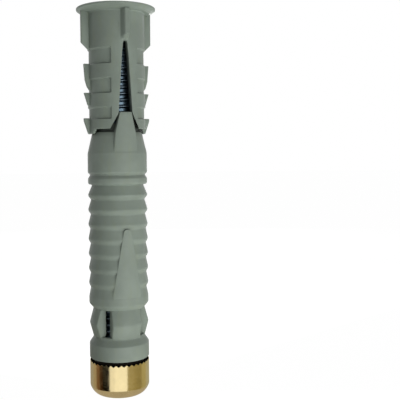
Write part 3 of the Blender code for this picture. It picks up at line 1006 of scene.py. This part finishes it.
class AnchorFinish(bpy.types.PropertyGroup):
    nylon_colour: bpy.props.FloatVectorProperty(
        name="Nylon", description="Colour of both sleeves", subtype="COLOR", size=3,
        default=(0.212, 0.252, 0.217), min=0.0, max=1.0)
    nylon_roughness: bpy.props.FloatProperty(
        name="Nylon Roughness", description="How matt the sleeves are", default=0.46, min=0.1, max=0.9,
        subtype="FACTOR")
    brass_colour: bpy.props.FloatVectorProperty(
        name="Brass", description="Colour of the cone nut", subtype="COLOR", size=3,
        default=(0.80, 0.66, 0.36), min=0.0, max=1.0)
    brass_roughness: bpy.props.FloatProperty(
        name="Brass Roughness", description="How matt the cone nut is", default=0.16, min=0.05, max=0.8,
        subtype="FACTOR")
    steel_colour: bpy.props.FloatVectorProperty(
        name="Steel", description="Colour of the stud", subtype="COLOR", size=3,
        default=(0.105, 0.15, 0.19), min=0.0, max=1.0)
    steel_roughness: bpy.props.FloatProperty(
        name="Steel Roughness", description="How matt the stud is", default=0.36, min=0.1, max=0.8,
        subtype="FACTOR")


class AnchorStage(bpy.types.PropertyGroup):
    world_strength: bpy.props.FloatProperty(
        name="Room Light", description="Strength of the even light from all round",
        default=0.14, min=0.0, max=2.0)
    key_power: bpy.props.FloatProperty(
        name="Key Power", description="Power of the soft lamp at the right",
        default=0.17, min=0.0, max=20.0)
    fill_power: bpy.props.FloatProperty(
        name="Fill Power", description="Power of the soft lamp beside the camera",
        default=0.03, min=0.0, max=20.0)
    back_power: bpy.props.FloatProperty(
        name="Back Power", description="Power of the soft lamp behind the anchor",
        default=0.14, min=0.0, max=20.0)


# Operators

class ANCHOR_OT_upper_sleeve(bpy.types.Operator):
    """Build the flanged nylon sleeve with its slots, pockets, ribs, tabs and barbed fins"""

    bl_idname = "anchor.upper_sleeve"
    bl_label = "Upper Sleeve"

    def execute(self, context):
        mesh = upper_sleeve_mesh()
        material = nylon_material(context.scene.anchor_finish)
        settle("upper_sleeve_moulding", mesh, material, "flanged_sleeve", "upper_sleeve")
        return {"FINISHED"}


class ANCHOR_OT_lower_sleeve(bpy.types.Operator):
    """Build the ribbed nylon sleeve with its collar, four legs, spears, keys and conical nose"""

    bl_idname = "anchor.lower_sleeve"
    bl_label = "Lower Sleeve"

    def execute(self, context):
        mesh = lower_sleeve_mesh()
        material = nylon_material(context.scene.anchor_finish)
        settle("lower_sleeve_moulding", mesh, material, "drawn_wedge", "lower_sleeve")
        return {"FINISHED"}


class ANCHOR_OT_cone_nut(bpy.types.Operator):
    """Build the brass nut with its toothed rim, cone and threaded bore"""

    bl_idname = "anchor.cone_nut"
    bl_label = "Cone Nut"

    def execute(self, context):
        mesh = nut_mesh(context.scene.anchor_sizes)
        material = brass_material(context.scene.anchor_finish)
        settle("cone_nut_turning", mesh, material, "drawn_wedge", "expander_nut")
        return {"FINISHED"}


class ANCHOR_OT_stud(bpy.types.Operator):
    """Build the zinc plated stud with its right-handed thread and hexagon socket"""

    bl_idname = "anchor.stud"
    bl_label = "Threaded Stud"

    def execute(self, context):
        mesh = stud_mesh(context.scene.anchor_sizes)
        material = steel_material(context.scene.anchor_finish)
        settle("stud_with_thread", mesh, material, "stud", "threaded_stud")
        return {"FINISHED"}


class ANCHOR_OT_stage(bpy.types.Operator):
    """Set the table, the cards that the brass mirrors, the lamps, the room light and the camera"""

    bl_idname = "anchor.stage"
    bl_label = "Stage"

    def execute(self, context):
        stage = context.scene.anchor_stage
        bm = bmesh.new()
        bmesh.ops.create_circle(bm, cap_ends=True, segments=64, radius=3.0)
        stage_mesh("table_top", bm, floor_material())
        cards = (
            ("grey_card", -88, -62, (0.38, 0.36, 0.31)),
            ("brown_card", -62, -51.5, (0.39, 0.33, 0.24)),
            ("umber_card", -51.5, -42.5, (0.18, 0.10, 0.05)),
            ("sepia_card", -42.5, -35, (0.045, 0.020, 0.006)),
            ("black_card", -35, -20.3, (0.004, 0.003, 0.001)),
            ("gold_card", 14.5, 27, (0.37, 0.32, 0.165)),
            ("dull_gold_card", 27, 34, (0.33, 0.28, 0.13)),
            ("olive_card", 34, 47, (0.30, 0.255, 0.118)),
            ("warm_card", 47, 61, (0.43, 0.39, 0.22)),
            ("pale_card", 61, 88, (0.44, 0.43, 0.35)),
        )
        for name, start, end, tone in cards:
            table_card(name, start, end, card_material(name.replace("_", " ").title(), tone))
        foot_card(card_material("Foot Card", (0.46, 0.42, 0.36)))
        bounce_card("bounce_card", -16, 84, card_material("Bounce Card", (2.02, 2.04, 1.99)))
        bounce_card("back_card", 130, 240, card_material("Back Card", (1.1, 1.12, 1.08)))
        centre = (0.0, 0.0, 0.038)
        area_light("Key", around(36, 0.30, 0.035), centre, (0.16, 0.06), stage.key_power, (1.0, 1.0, 0.97))
        area_light("Fill", around(6, 0.30, 0.03), centre, (0.08, 0.05), stage.fill_power)
        area_light("Back", around(174, 0.34, 0.05), centre, (0.10, 0.06), stage.back_power)
        build_world(stage)
        build_camera()
        stand_on_nut()
        context.scene.view_settings.view_transform = "Standard"
        return {"FINISHED"}


class ANCHOR_PT_sidebar(bpy.types.Panel):
    """The anchor's pieces and settings"""

    bl_idname = "ANCHOR_PT_sidebar"
    bl_label = "Expansion Anchor"
    bl_space_type = "VIEW_3D"
    bl_region_type = "UI"
    bl_category = "Anchor"

    def draw(self, context):
        layout = self.layout
        for group in (context.scene.anchor_sizes, context.scene.anchor_finish, context.scene.anchor_stage):
            column = layout.column(align=True)
            for name in group.__annotations__:
                column.prop(group, name)
        for operator in OPERATORS:
            layout.operator(operator.bl_idname)


OPERATORS = (
    ANCHOR_OT_upper_sleeve, ANCHOR_OT_lower_sleeve, ANCHOR_OT_cone_nut, ANCHOR_OT_stud, ANCHOR_OT_stage,
)
CLASSES = (AnchorSizes, AnchorFinish, AnchorStage) + OPERATORS + (ANCHOR_PT_sidebar,)


def register():
    for item in CLASSES:
        bpy.utils.register_class(item)
    bpy.types.Scene.anchor_sizes = bpy.props.PointerProperty(type=AnchorSizes)
    bpy.types.Scene.anchor_finish = bpy.props.PointerProperty(type=AnchorFinish)
    bpy.types.Scene.anchor_stage = bpy.props.PointerProperty(type=AnchorStage)


def unregister():
    del bpy.types.Scene.anchor_stage
    del bpy.types.Scene.anchor_finish
    del bpy.types.Scene.anchor_sizes
    for item in reversed(CLASSES):
        bpy.utils.unregister_class(item)


def main():
    register()
    bpy.ops.anchor.upper_sleeve()
    bpy.ops.anchor.lower_sleeve()
    bpy.ops.anchor.cone_nut()
    bpy.ops.anchor.stud()
    bpy.ops.anchor.stage()


if __name__ == "__main__":
    main()
